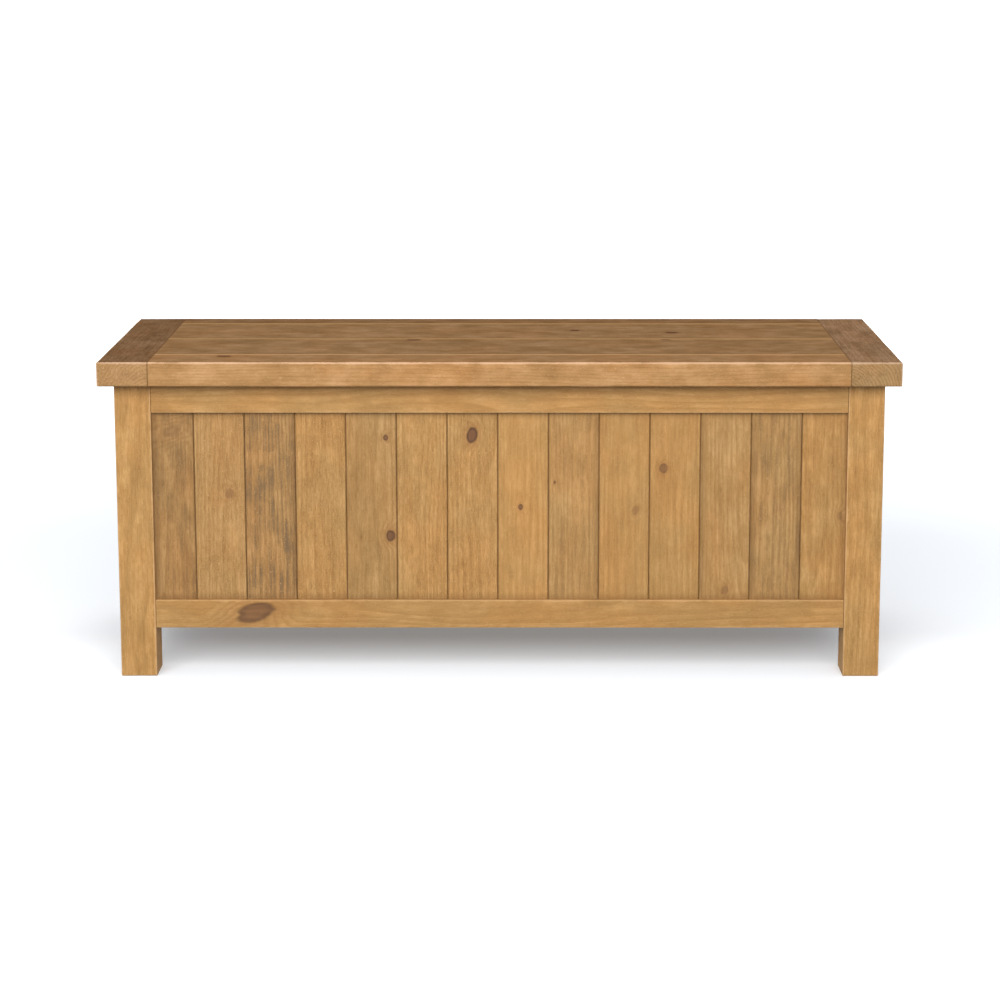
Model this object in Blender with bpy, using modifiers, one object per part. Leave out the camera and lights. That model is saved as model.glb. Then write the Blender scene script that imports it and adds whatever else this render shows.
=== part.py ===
"""Pine storage bench with a hinged lid, in metres, +Z up, front towards -Y."""

import math

import bmesh
import bpy
from mathutils import Matrix, Vector

# Overall sizes
LENGTH = 1.100
LID_DEPTH = 0.380
HEIGHT = 0.450
OVERHANG = 0.020
GAP = 0.0003
LAP = 0.0005
PROUD = 0.010

# Timber sections
LEG = 0.050
LID_T = 0.034
RAIL_H = 0.040
RAIL_T = 0.026
RAIL_LOW_Z = 0.070
BOARD_T = 0.015
BOARD_PITCH = 0.070
FIRST_JOINT = -0.0024
HOUSING = 0.008
TENON_T = 0.010
TENON_WALL = 0.004
TENON_EDGE = HOUSING + 0.001
LEAST_BOARD = 0.025
TONGUE_T = 0.005
TONGUE_L = 0.006
V_JOINT = 0.0015
EASE = 0.0012
FOOT_EASE = 0.003

# Lid
CLEAT_W = 0.070
LID_JOINTS = (0.176, 0.524, 0.883)
LID_TONGUE_T = 0.010
LID_TONGUE_L = 0.012
LID_TONGUE_STOP = 0.015
BATTEN_W = 0.050
BATTEN_T = 0.020
BATTEN_X = 0.230
BATTEN_CLEAR = 0.012

# Floor of the box
FLOOR_T = 0.012
BEARER = 0.020

# Butt hinges
HINGE_X = 0.330
HINGE_L = 0.070
LEAF_W = 0.020
LEAF_T = 0.002
KNUCKLE_R = 0.004
PIN_R = 0.00194
PIN_HEAD = 0.0012
PIN_HEAD_R = 0.0032
RUNNING = 0.00006

# Sliding lid stays
LID_OPEN = math.radians(95)
LID_ANGLE = math.radians(6)
BOX_ANGLE = math.radians(17)
ARM_W = 0.016
ARM_T = 0.003
ARM_CLEAR = 0.004
ARM_ABOVE_FLOOR = 0.035
STUD_R = 0.003
STUD_HEAD = 0.003
RIVET_R = 0.0025
RIVET_HEAD = 0.002
SLIDE_GAP = 0.0005
STEEL_T = 0.002
FLANGE_W = 0.024
FLANGE_L = 0.036
PLATE_W = 0.022

# Places that follow from the sizes above
HALF_L = LENGTH / 2
FRAME_X = HALF_L - OVERHANG
DEPTH = LID_DEPTH + GAP + 2 * KNUCKLE_R
LID_FRONT = -DEPTH / 2
LID_REAR = LID_FRONT + LID_DEPTH
FRAME_FRONT = LID_FRONT + OVERHANG
FRAME_REAR = LID_REAR
LID_LOW = HEIGHT - LID_T
FRAME_TOP = LID_LOW - GAP
LEG_IN_X = FRAME_X - LEG
LEG_IN_FRONT = FRAME_FRONT + LEG
LEG_IN_REAR = FRAME_REAR - LEG
RAIL_TOP_Z = FRAME_TOP - RAIL_H
FLOOR_LOW = RAIL_LOW_Z + RAIL_H + GAP
TENON_L = LEG - (RAIL_T + TENON_T) / 2 - TENON_WALL
GROOVE_LIP = (RAIL_T - BOARD_T) / 2
BORE_R = PIN_R + RUNNING
AXIS = Vector((0, LID_REAR + GAP + KNUCKLE_R, LID_LOW - GAP / 2))

scene = bpy.context.scene


def clear_scene():
    for item in list(bpy.data.objects):
        bpy.data.objects.remove(item, do_unlink=True)


def new_collection(name, hidden=False):
    made = bpy.data.collections.new(name)
    scene.collection.children.link(made)
    made.hide_render = hidden
    return made


def new_material(name, color, roughness, metallic=0.0):
    made = bpy.data.materials.new(name)
    made.use_nodes = True
    shader = made.node_tree.nodes["Principled BSDF"]
    shader.inputs["Base Color"].default_value = (*color, 1)
    shader.inputs["Roughness"].default_value = roughness
    shader.inputs["Metallic"].default_value = metallic
    return made


clear_scene()
bench = new_collection("storage_bench")
cutters = new_collection("cutters", hidden=True)

PINE_LID = new_material("pine_lid", (0.50, 0.31, 0.15), 0.5)
PINE_CLEAT = new_material("pine_cleat", (0.36, 0.23, 0.12), 0.55)
PINE_FRAME = new_material("pine_frame", (0.55, 0.34, 0.15), 0.5)
PINE_BOARD = new_material("pine_board", (0.52, 0.31, 0.14), 0.5)
PINE_RAW = new_material("pine_raw", (0.62, 0.46, 0.28), 0.65)
PLYWOOD = new_material("plywood", (0.60, 0.47, 0.32), 0.6)
STEEL = new_material("zinc_steel", (0.62, 0.60, 0.55), 0.35, 1.0)
BRASS = new_material("brass", (0.70, 0.52, 0.25), 0.35, 1.0)


def add_object(name, mesh, material=None):
    made = bpy.data.objects.new(name, mesh)
    if material:
        mesh.materials.append(material)
        bench.objects.link(made)
        return made
    cutters.objects.link(made)
    made.display_type = "WIRE"
    made.hide_render = True
    return made


def mesh_from(name, bm):
    mesh = bpy.data.meshes.new(name)
    bm.to_mesh(mesh)
    bm.free()
    return mesh


def box(name, low, high, material=None, ease=0.0):
    """A block between two opposite corners, its arrises eased when `ease` is given."""
    size = Vector(high) - Vector(low)
    bm = bmesh.new()
    bmesh.ops.create_cube(bm, size=1, matrix=Matrix.Diagonal((*size, 1)))
    made = add_object(name, mesh_from(name, bm), material)
    made.location = (Vector(high) + Vector(low)) / 2
    if ease:
        rounding = made.modifiers.new("eased_arrises", "BEVEL")
        rounding.width = ease
        rounding.segments = 2
    return made


ALONG_X = Matrix(((0, 0, 1), (1, 0, 0), (0, 1, 0))).to_4x4()


def flat_outline(name, points, holes=()):
    """A filled flat curve from closed lists of points."""
    curve = bpy.data.curves.new(name, "CURVE")
    curve.dimensions = "2D"
    curve.fill_mode = "BOTH"
    for ring in (points, *holes):
        spline = curve.splines.new("POLY")
        spline.points.add(len(ring) - 1)
        spline.use_cyclic_u = True
        for point, (u, v) in zip(spline.points, ring):
            point.co = (u, v, 0, 1)
    return curve


def prism(name, points, start, end, material=None, turn=None, holes=()):
    """A flat outline pushed up from start to end, along +X with its plan in Y and Z when turned."""
    curve = flat_outline(name, points, holes)
    curve.extrude = (end - start) / 2
    guide = bpy.data.objects.new(name + "_outline", curve)
    scene.collection.objects.link(guide)
    bpy.context.view_layer.update()
    solid = guide.evaluated_get(bpy.context.evaluated_depsgraph_get())
    mesh = bpy.data.meshes.new_from_object(solid)
    bpy.data.objects.remove(guide)
    bm = bmesh.new()
    bm.from_mesh(mesh)
    bmesh.ops.remove_doubles(bm, verts=bm.verts, dist=1e-6)
    bmesh.ops.recalc_face_normals(bm, faces=bm.faces)
    bm.to_mesh(mesh)
    bm.free()
    mesh.name = name
    made = add_object(name, mesh, material)
    lift = Matrix.Translation((0, 0, (start + end) / 2))
    made.matrix_world = turn @ lift if turn else lift
    return made


def rod(name, radius, x0, x1, y, z, material=None):
    """A round bar along X."""
    bm = bmesh.new()
    bmesh.ops.create_cone(
        bm,
        cap_ends=True,
        segments=32,
        radius1=radius,
        radius2=radius,
        depth=x1 - x0,
        matrix=ALONG_X,
    )
    mesh = mesh_from(name, bm)
    mesh.shade_smooth()
    mesh.set_sharp_from_angle(angle=math.radians(40))
    made = add_object(name, mesh, material)
    made.location = ((x0 + x1) / 2, y, z)
    return made


def combine(target, cutter, operation="DIFFERENCE"):
    step = target.modifiers.new(operation.lower() + "_" + cutter.name, "BOOLEAN")
    step.operation = operation
    step.solver = "EXACT"
    step.object = cutter
    return target


# Legs: square posts with eased feet, mortised for the rails and grooved for the end boards
def rail_band(level):
    low = RAIL_LOW_Z if level == "bottom" else RAIL_TOP_Z
    return low, low + RAIL_H


def panel_band():
    """Heights that the upright boards fill, housings included."""
    return RAIL_LOW_Z + RAIL_H - HOUSING, RAIL_TOP_Z + HOUSING


def leg_post(name, x, y):
    """A post whose long arrises are eased a little and whose foot is eased more."""
    half = LEG / 2
    post = box(name, (x - half, y - half, 0), (x + half, y + half, FRAME_TOP), PINE_FRAME)
    weights = post.data.attributes.new("bevel_weight_edge", "FLOAT", "EDGE")
    for edge in post.data.edges:
        first, second = (post.data.vertices[i].co for i in edge.vertices)
        if abs(first.z - second.z) > half:
            weights.data[edge.index].value = EASE / FOOT_EASE
        elif first.z < 0:
            weights.data[edge.index].value = 1
    rounding = post.modifiers.new("eased_arrises", "BEVEL")
    rounding.width = FOOT_EASE
    rounding.segments = 2
    rounding.limit_method = "WEIGHT"
    return post


def rail_centres(sx, sy):
    """Middle lines of the long rail (its y) and of the end rail (its x) that meet in one leg."""
    long_y = FRAME_FRONT + RAIL_T / 2 if sy < 0 else FRAME_REAR - RAIL_T / 2
    return long_y, sx * (FRAME_X - RAIL_T / 2)


def leg_cutter(name, sx, sy):
    long_y, end_x = rail_centres(sx, sy)
    in_y = LEG_IN_FRONT if sy < 0 else LEG_IN_REAR
    corners = []
    half_t = TENON_T / 2 + GAP
    for level in ("bottom", "top"):
        low, high = rail_band(level)
        z0, z1 = low + TENON_EDGE - GAP, high - TENON_EDGE + GAP
        xs = sorted((sx * (LEG_IN_X - PROUD), sx * (LEG_IN_X + TENON_L + GAP)))
        corners.append(((xs[0], long_y - half_t, z0), (xs[1], long_y + half_t, z1)))
        ys = sorted((in_y - sy * PROUD, in_y + sy * (TENON_L + GAP)))
        corners.append(((end_x - half_t, ys[0], z0), (end_x + half_t, ys[1], z1)))
    z0, z1 = panel_band()
    half_g = BOARD_T / 2 + GAP
    xs = sorted((sx * (LEG_IN_X - PROUD), sx * (LEG_IN_X + HOUSING)))
    corners.append(((xs[0], long_y - half_g, z0), (xs[1], long_y + half_g, z1)))
    ys = sorted((in_y - sy * PROUD, in_y + sy * HOUSING))
    corners.append(((end_x - half_g, ys[0], z0), (end_x + half_g, ys[1], z1)))
    return corners


def add_legs():
    for side, sx in (("left", -1), ("right", 1)):
        for end, sy in (("front", -1), ("rear", 1)):
            name = f"leg_{end}_{side}"
            y = FRAME_FRONT + LEG / 2 if sy < 0 else FRAME_REAR - LEG / 2
            post = leg_post(name, sx * (FRAME_X - LEG / 2), y)
            for i, (low, high) in enumerate(leg_cutter(name, sx, sy)):
                combine(post, box(f"{name}_cut_{i}", low, high))


add_legs()


# Rails: tenoned into the legs, grooved along the edge that faces the boards
def rail_between(name, along, start, end, centre, level):
    """A rail along X or Y from leg face to leg face, centred on `centre` across."""
    low, high = rail_band(level)

    def corner(u, across, z):
        return (u, across, z) if along == "X" else (across, u, z)

    half = RAIL_T / 2
    body = box(
        name,
        corner(start + GAP, centre - half, low),
        corner(end - GAP, centre + half, high),
        PINE_FRAME,
        EASE,
    )
    tenon = box(
        f"{name}_tenon",
        corner(start - TENON_L, centre - TENON_T / 2, low + TENON_EDGE),
        corner(end + TENON_L, centre + TENON_T / 2, high - TENON_EDGE),
    )
    combine(body, tenon, "UNION")
    z0, z1 = (high - HOUSING, high + PROUD) if level == "bottom" else (low - PROUD, low + HOUSING)
    half_g = BOARD_T / 2 + GAP
    groove = box(
        f"{name}_groove",
        corner(start - LAP, centre - half_g, z0),
        corner(end + LAP, centre + half_g, z1),
    )
    return combine(body, groove)


def add_rails():
    for end, sy in (("front", -1), ("rear", 1)):
        long_y, _ = rail_centres(1, sy)
        for level in ("top", "bottom"):
            rail_between(f"rail_{end}_{level}", "X", -LEG_IN_X, LEG_IN_X, long_y, level)
    for side, sx in (("left", -1), ("right", 1)):
        _, end_x = rail_centres(sx, 1)
        for level in ("top", "bottom"):
            rail_between(f"rail_{side}_{level}", "Y", LEG_IN_FRONT, LEG_IN_REAR, end_x, level)


add_rails()


# Upright boards: tongue and groove with a V joint on the outer face
def board_outline(u0, u1, groove, tongue):
    """Plan of one board: u along the panel, v from the outer face inwards."""
    mid = BOARD_T / 2
    half_t = TONGUE_T / 2
    half_g = half_t + GAP
    start = V_JOINT if groove else GAP
    stop = V_JOINT if tongue else GAP
    points = [(u0 + start, 0), (u1 - stop, 0), (u1, stop)]
    if tongue:
        reach = u1 + TONGUE_L
        points += [(u1, mid - half_t), (reach, mid - half_t)]
        points += [(reach, mid + half_t), (u1, mid + half_t)]
    points += [(u1, BOARD_T), (u0, BOARD_T)]
    if groove:
        reach = u0 + TONGUE_L + 2 * GAP
        points += [(u0, mid + half_g), (reach, mid + half_g)]
        points += [(reach, mid - half_g), (u0, mid - half_g)]
    points.append((u0, start))
    return points


def joints_between(start, end, first):
    """Joint lines at the board pitch that leave no sliver at either end."""
    low = math.ceil((start + LEAST_BOARD - first) / BOARD_PITCH)
    high = math.floor((end - LEAST_BOARD - first) / BOARD_PITCH)
    return [first + BOARD_PITCH * k for k in range(low, high + 1)]


def add_boards(prefix, start, end, first, place):
    joints = joints_between(start, end, first)
    edges = [start - HOUSING + GAP, *joints, end + HOUSING - GAP]
    z0, z1 = panel_band()
    for i, (u0, u1) in enumerate(zip(edges, edges[1:])):
        last = i == len(edges) - 2
        right = u1 if last else u1 - GAP
        outline = board_outline(u0, right, i > 0, not last)
        name = f"{prefix}_{i + 1:02d}"
        prism(name, [place(u, v) for u, v in outline], z0 + GAP, z1 - GAP, PINE_BOARD)


add_boards(
    "front_board",
    -LEG_IN_X,
    LEG_IN_X,
    FIRST_JOINT,
    lambda u, v: (u, FRAME_FRONT + GROOVE_LIP + v),
)
END_MIDDLE = (LEG_IN_FRONT + LEG_IN_REAR) / 2
add_boards(
    "left_board",
    LEG_IN_FRONT,
    LEG_IN_REAR,
    END_MIDDLE,
    lambda u, v: (-FRAME_X + GROOVE_LIP + v, u),
)
add_boards(
    "right_board",
    LEG_IN_FRONT,
    LEG_IN_REAR,
    END_MIDDLE,
    lambda u, v: (FRAME_X - GROOVE_LIP - v, u),
)


# Back: the same boards glued up into one panel
def panel_outline(start, end, joints):
    points = [(start, 0)]
    for joint in joints:
        points += [(joint - V_JOINT, 0), (joint, V_JOINT), (joint + V_JOINT, 0)]
    points += [(end, 0), (end, BOARD_T), (start, BOARD_T)]
    return points


def add_back():
    joints = joints_between(-LEG_IN_X, LEG_IN_X, -FIRST_JOINT)
    reach = LEG_IN_X + HOUSING - GAP
    outline = panel_outline(-reach, reach, joints)
    outer = FRAME_REAR - GROOVE_LIP
    z0, z1 = panel_band()
    plan = [(u, outer - v) for u, v in outline]
    prism("rear_panel", plan, z0 + GAP, z1 - GAP, PINE_BOARD)


add_back()


# Floor: a panel notched round the legs, carried by the rails and two bearers
def add_floor():
    z0 = FLOOR_LOW
    in_x = FRAME_X - GROOVE_LIP - BOARD_T - GAP
    front = FRAME_FRONT + GROOVE_LIP + BOARD_T + GAP
    rear = FRAME_REAR - GROOVE_LIP - BOARD_T - GAP
    floor = box("floor_panel", (-in_x, front, z0), (in_x, rear, z0 + FLOOR_T), PLYWOOD)
    for side, sx in (("left", -1), ("right", 1)):
        xs = sorted((sx * (LEG_IN_X - GAP), sx * (FRAME_X + PROUD)))
        for end, y0, y1 in (
            ("front", FRAME_FRONT - PROUD, LEG_IN_FRONT + GAP),
            ("rear", LEG_IN_REAR - GAP, FRAME_REAR + PROUD),
        ):
            low, high = (xs[0], y0, z0 - PROUD), (xs[1], y1, z0 + FLOOR_T + PROUD)
            combine(floor, box(f"floor_notch_{end}_{side}", low, high))
    reach = LEG_IN_X - GAP
    for end, y0 in (
        ("front", FRAME_FRONT + RAIL_T + GAP),
        ("rear", FRAME_REAR - RAIL_T - GAP - BEARER),
    ):
        low = (-reach, y0, z0 - GAP - BEARER)
        high = (reach, y0 + BEARER, z0 - GAP)
        box(f"bearer_{end}", low, high, PINE_RAW, EASE)


add_floor()


# Lid: four boards tongued into an end cleat at each side, two battens screwed below
def moving_with(empty, pieces):
    for piece in pieces:
        piece.parent = empty
        piece.matrix_parent_inverse = Matrix.Translation(-empty.location)


def pivot(name, place):
    made = bpy.data.objects.new(name, None)
    made.location = place
    made.empty_display_size = 0.03
    bench.objects.link(made)
    return made


def lid_outline(y0, y1, groove, tongue):
    """Section of one lid board, with the tongue on its rear edge and the groove on its front edge."""
    mid = LID_LOW + LID_T / 2
    half_t = LID_TONGUE_T / 2
    half_g = half_t + GAP
    ease = EASE
    points = [(y0 + ease, LID_LOW), (y1 - ease, LID_LOW), (y1, LID_LOW + ease)]
    if tongue:
        reach = y1 + TONGUE_L
        points += [(y1, mid - half_t), (reach, mid - half_t)]
        points += [(reach, mid + half_t), (y1, mid + half_t)]
    points += [(y1, HEIGHT - ease), (y1 - ease, HEIGHT), (y0 + ease, HEIGHT), (y0, HEIGHT - ease)]
    if groove:
        reach = y0 + TONGUE_L + 2 * GAP
        points += [(y0, mid + half_g), (reach, mid + half_g)]
        points += [(reach, mid - half_g), (y0, mid - half_g)]
    points.append((y0, LID_LOW + ease))
    return points


def shoulder_cutters(reach, shoulder):
    """Blocks that leave a tongue at each end of the lid boards, stopped short of front and back."""
    mid = LID_LOW + LID_T / 2
    low_z, high_z = LID_LOW - PROUD, HEIGHT + PROUD
    front, rear = LID_FRONT - PROUD, LID_REAR + PROUD
    sides = (
        ("low", front, rear, low_z, mid - LID_TONGUE_T / 2),
        ("high", front, rear, mid + LID_TONGUE_T / 2, high_z),
        ("front", front, LID_FRONT + LID_TONGUE_STOP, low_z, high_z),
        ("rear", LID_REAR - LID_TONGUE_STOP, rear, low_z, high_z),
    )
    made = []
    for end, sx in (("left", -1), ("right", 1)):
        xs = sorted((sx * shoulder, sx * (reach + PROUD)))
        for side, y0, y1, z0, z1 in sides:
            made.append(box(f"lid_shoulder_{side}_{end}", (xs[0], y0, z0), (xs[1], y1, z1)))
    return made


def hinge_recess(name, side, z0, z1):
    low = (side * HINGE_X - HINGE_L / 2 - GAP, LID_REAR - LEAF_W - GAP, z0)
    high = (side * HINGE_X + HINGE_L / 2 + GAP, LID_REAR + PROUD, z1)
    return box(name, low, high)


def add_lid():
    shoulder = HALF_L - CLEAT_W - GAP
    reach = shoulder + LID_TONGUE_L
    edges = [LID_FRONT, *(LID_FRONT + LID_DEPTH * part for part in LID_JOINTS), LID_REAR]
    blocks = shoulder_cutters(reach, shoulder)
    made = []
    for i, (y0, y1) in enumerate(zip(edges, edges[1:])):
        last = i == len(edges) - 2
        outline = lid_outline(y0, y1 if last else y1 - GAP, i > 0, not last)
        board = prism(f"lid_board_{i + 1}", outline, -reach, reach, PINE_LID, ALONG_X)
        for block in blocks:
            combine(board, block)
        made.append(board)
    for name, side in (("left", -1), ("right", 1)):
        low = LID_LOW - PROUD
        combine(made[-1], hinge_recess(f"lid_recess_{name}", side, low, LID_LOW + LEAF_T + GAP))
    return made


def add_cleats():
    made = []
    mid = LID_LOW + LID_T / 2
    half = LID_TONGUE_T / 2 + GAP
    for side, sx in (("left", -1), ("right", 1)):
        xs = sorted((sx * (HALF_L - CLEAT_W), sx * HALF_L))
        low, high = (xs[0], LID_FRONT, LID_LOW), (xs[1], LID_REAR, HEIGHT)
        cleat = box(f"lid_cleat_{side}", low, high, PINE_CLEAT, EASE)
        inner = sx * (HALF_L - CLEAT_W)
        xs = sorted((inner - sx * PROUD, inner + sx * (LID_TONGUE_L + GAP)))
        low = (xs[0], LID_FRONT + LID_TONGUE_STOP - GAP, mid - half)
        high = (xs[1], LID_REAR - LID_TONGUE_STOP + GAP, mid + half)
        made.append(combine(cleat, box(f"lid_groove_{side}", low, high)))
    return made


def add_battens():
    made = []
    y0 = FRAME_FRONT + RAIL_T + BATTEN_CLEAR
    y1 = FRAME_REAR - RAIL_T - BATTEN_CLEAR
    for side, sx in (("left", -1), ("right", 1)):
        x = sx * BATTEN_X
        low = (x - BATTEN_W / 2, y0, LID_LOW - GAP - BATTEN_T)
        high = (x + BATTEN_W / 2, y1, LID_LOW - GAP)
        made.append(box(f"lid_batten_{side}", low, high, PINE_RAW, EASE))
    return made


lid_axis = pivot("lid_axis", AXIS)
moving_with(lid_axis, add_lid() + add_cleats() + add_battens())


# Hinges: two leaves let into rail and lid, knuckles round one pin behind the back face
def leaf(name, x, z0, z1, own, material):
    """One leaf. `own` says which of the five knuckles it carries."""
    y0 = LID_REAR - LEAF_W
    low = (x - HINGE_L / 2, y0, z0)
    high = (x + HINGE_L / 2, AXIS.y - (BORE_R + KNUCKLE_R) / 2, z1)
    plate = box(name, low, high, material)
    ends = (x - HINGE_L / 2, x + HINGE_L / 2)
    combine(plate, rod(f"{name}_barrel", KNUCKLE_R, *ends, AXIS.y, AXIS.z), "UNION")
    bore = rod(f"{name}_bore", BORE_R, ends[0] - PROUD, ends[1] + PROUD, AXIS.y, AXIS.z)
    combine(plate, bore)
    step = HINGE_L / 5
    reach = KNUCKLE_R + GAP
    for i in range(5):
        if i in own:
            continue
        x0 = ends[0] + i * step - (PROUD if i == 0 else GAP / 2)
        x1 = ends[0] + (i + 1) * step + (PROUD if i == 4 else GAP / 2)
        low = (x0, AXIS.y - reach, AXIS.z - PROUD)
        high = (x1, AXIS.y + PROUD, AXIS.z + PROUD)
        combine(plate, box(f"{name}_gap_{i}", low, high))
    return plate


def hinge_pin(name, x):
    half = HINGE_L / 2
    reach = half + GAP + LAP
    pin = rod(name, PIN_R, x - reach, x + reach, AXIS.y, AXIS.z, BRASS)
    for end, sx in (("a", -1), ("b", 1)):
        xs = sorted((x + sx * (half + GAP), x + sx * (half + GAP + PIN_HEAD)))
        head = rod(f"{name}_head_{end}", PIN_HEAD_R, *xs, AXIS.y, AXIS.z)
        combine(pin, head, "UNION")
    return pin


def add_hinges():
    top_rail = bpy.data.objects["rail_rear_top"]
    for side, sx in (("left", -1), ("right", 1)):
        x = sx * HINGE_X
        recess = hinge_recess(f"rail_recess_{side}", sx, FRAME_TOP - LEAF_T - GAP, LID_LOW + PROUD)
        combine(top_rail, recess)
        leaf(f"hinge_{side}_frame_leaf", x, FRAME_TOP - LEAF_T, FRAME_TOP, (0, 2, 4), BRASS)
        lid_leaf = leaf(f"hinge_{side}_lid_leaf", x, LID_LOW, LID_LOW + LEAF_T, (1, 3), BRASS)
        moving_with(lid_axis, [lid_leaf])
        hinge_pin(f"hinge_{side}_pin", x)


add_hinges()

# Stays: stud and lid rivet stand at the same distance from the hinge line, so that the
# slotted arm always passes through the stud and turns half as far as the lid. That distance
# is as long as lets the arm hang clear of the floor
LEAN = (LID_ANGLE + BOX_ANGLE) / 2
SHUT_CHORD = 2 * math.sin((BOX_ANGLE - LID_ANGLE) / 2)
OPEN_CHORD = 2 * math.sin((BOX_ANGLE - LID_ANGLE + LID_OPEN) / 2)
ARM_END = STUD_R + ARM_W / 2
ROOM = AXIS.z - FLOOR_LOW - FLOOR_T - ARM_ABOVE_FLOOR - ARM_END * math.cos(LEAN)
REACH = ROOM / (math.sin(LID_ANGLE) + OPEN_CHORD * math.cos(LEAN))
RIVET_Y = AXIS.y - REACH * math.cos(LID_ANGLE)
RIVET_Z = AXIS.z - REACH * math.sin(LID_ANGLE)
STUD_Y = AXIS.y - REACH * math.cos(BOX_ANGLE)
STUD_Z = AXIS.z - REACH * math.sin(BOX_ANGLE)
SHUT_SPAN = REACH * SHUT_CHORD
OPEN_SPAN = REACH * OPEN_CHORD
PLATE_OUT = FRAME_X - RAIL_T - GAP
PLATE_IN = PLATE_OUT - STEEL_T
ARM_OUT = PLATE_IN - ARM_CLEAR
ARM_IN = ARM_OUT - ARM_T
TAB_OUT = ARM_IN - SLIDE_GAP
TAB_IN = TAB_OUT - STEEL_T


def half_round(radius, level, first, sides=12):
    angles = [first + math.pi * i / sides for i in range(sides + 1)]
    return [(radius * math.cos(a), level + radius * math.sin(a)) for a in angles]


def round_ended(length, radius, start=0.0):
    """Outline of a bar pointing down, its first end centred `start` below the origin."""
    return half_round(radius, -start, 0.0) + half_round(radius, -start - length, math.pi)


def leaning(points):
    """Turns points about the rivet so that the bar runs through the stud."""
    c, s = math.cos(LEAN), math.sin(LEAN)
    return [(RIVET_Y + u * c - v * s, RIVET_Z + u * s + v * c) for u, v in points]


def stay_arm(side, sx):
    xs = sorted((sx * ARM_IN, sx * ARM_OUT))
    bar = leaning(round_ended(OPEN_SPAN + STUD_R, ARM_W / 2))
    slot = leaning(round_ended(OPEN_SPAN - SHUT_SPAN, STUD_R + GAP, SHUT_SPAN))
    eye = [(RIVET_Y + u, RIVET_Z + v) for u, v in round_ended(0.0, RIVET_R + RUNNING)]
    return prism(f"stay_{side}_arm", bar, *xs, STEEL, ALONG_X, (slot, eye))


def stay_bracket(side, sx):
    name = f"stay_{side}_bracket"
    half = ARM_W / 2
    xs = sorted((sx * TAB_IN, sx * TAB_OUT))
    top = LID_LOW - GAP
    tab = [(RIVET_Y + u, RIVET_Z + v) for u, v in half_round(half, 0.0, math.pi)]
    tab += [(RIVET_Y + half, top), (RIVET_Y - half, top)]
    plate = prism(name, tab, *xs, STEEL, ALONG_X)
    flange_x = sorted((sx * (TAB_OUT - FLANGE_W), sx * (TAB_OUT - GAP)))
    low = (flange_x[0], RIVET_Y - FLANGE_L / 2, top - STEEL_T)
    high = (flange_x[1], RIVET_Y + FLANGE_L / 2, top)
    combine(plate, box(f"{name}_flange", low, high), "UNION")
    head_x = ARM_OUT + SLIDE_GAP
    ends = sorted((sx * (TAB_IN + LAP), sx * (head_x + LAP)))
    combine(plate, rod(f"{name}_rivet", RIVET_R, *ends, RIVET_Y, RIVET_Z), "UNION")
    ends = sorted((sx * head_x, sx * (head_x + RIVET_HEAD)))
    return combine(plate, rod(f"{name}_head", RIVET_R * 2, *ends, RIVET_Y, RIVET_Z), "UNION")


def stay_plate(side, sx):
    name = f"stay_{side}_plate"
    xs = sorted((sx * PLATE_IN, sx * PLATE_OUT))
    low = (xs[0], STUD_Y - PLATE_W / 2, STUD_Z - PLATE_W / 2)
    high = (xs[1], STUD_Y + PLATE_W / 2, FRAME_TOP - STEEL_T)
    plate = box(name, low, high, STEEL)
    head_x = ARM_IN - 2 * SLIDE_GAP
    ends = sorted((sx * (PLATE_IN + LAP), sx * (head_x - LAP)))
    combine(plate, rod(f"{name}_stud", STUD_R, *ends, STUD_Y, STUD_Z), "UNION")
    ends = sorted((sx * head_x, sx * (head_x - STUD_HEAD)))
    return combine(plate, rod(f"{name}_head", STUD_R * 2, *ends, STUD_Y, STUD_Z), "UNION")


def add_stays():
    for side, sx in (("left", -1), ("right", 1)):
        stay_plate(side, sx)
        moving_with(lid_axis, [stay_bracket(side, sx)])
        eye = pivot(f"stay_{side}_axis", (sx * (ARM_IN + ARM_OUT) / 2, RIVET_Y, RIVET_Z))
        moving_with(eye, [stay_arm(side, sx)])


add_stays()
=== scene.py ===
import math

import bmesh
import bpy
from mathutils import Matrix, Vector, noise


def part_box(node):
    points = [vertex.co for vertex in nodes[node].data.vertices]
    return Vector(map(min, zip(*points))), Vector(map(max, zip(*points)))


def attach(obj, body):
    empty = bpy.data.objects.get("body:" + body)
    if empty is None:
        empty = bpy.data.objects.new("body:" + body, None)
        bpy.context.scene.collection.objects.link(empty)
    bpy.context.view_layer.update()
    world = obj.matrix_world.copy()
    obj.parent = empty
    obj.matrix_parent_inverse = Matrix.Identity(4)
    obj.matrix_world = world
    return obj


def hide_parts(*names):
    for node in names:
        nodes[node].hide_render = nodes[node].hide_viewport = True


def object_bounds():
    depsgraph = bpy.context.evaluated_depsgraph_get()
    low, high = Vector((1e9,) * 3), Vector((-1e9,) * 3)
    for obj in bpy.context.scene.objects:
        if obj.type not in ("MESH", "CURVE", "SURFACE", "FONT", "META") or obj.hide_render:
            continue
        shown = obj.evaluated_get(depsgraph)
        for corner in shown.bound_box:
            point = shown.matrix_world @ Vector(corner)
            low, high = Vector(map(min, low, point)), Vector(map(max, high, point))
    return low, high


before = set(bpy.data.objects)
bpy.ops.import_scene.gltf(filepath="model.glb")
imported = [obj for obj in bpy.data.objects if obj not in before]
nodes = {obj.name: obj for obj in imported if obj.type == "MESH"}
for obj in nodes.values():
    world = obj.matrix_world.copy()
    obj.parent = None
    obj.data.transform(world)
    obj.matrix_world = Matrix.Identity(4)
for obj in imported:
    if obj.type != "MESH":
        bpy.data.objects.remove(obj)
packed_low, packed_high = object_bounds()
scene = bpy.context.scene

# Studio: a white floor that runs off into a white room. A long soft light hangs in front of
# the bench and a weaker one behind it. The camera stands well back and looks a little down.
scene.view_settings.view_transform = "Standard"
scene.view_settings.look = "None"

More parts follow.
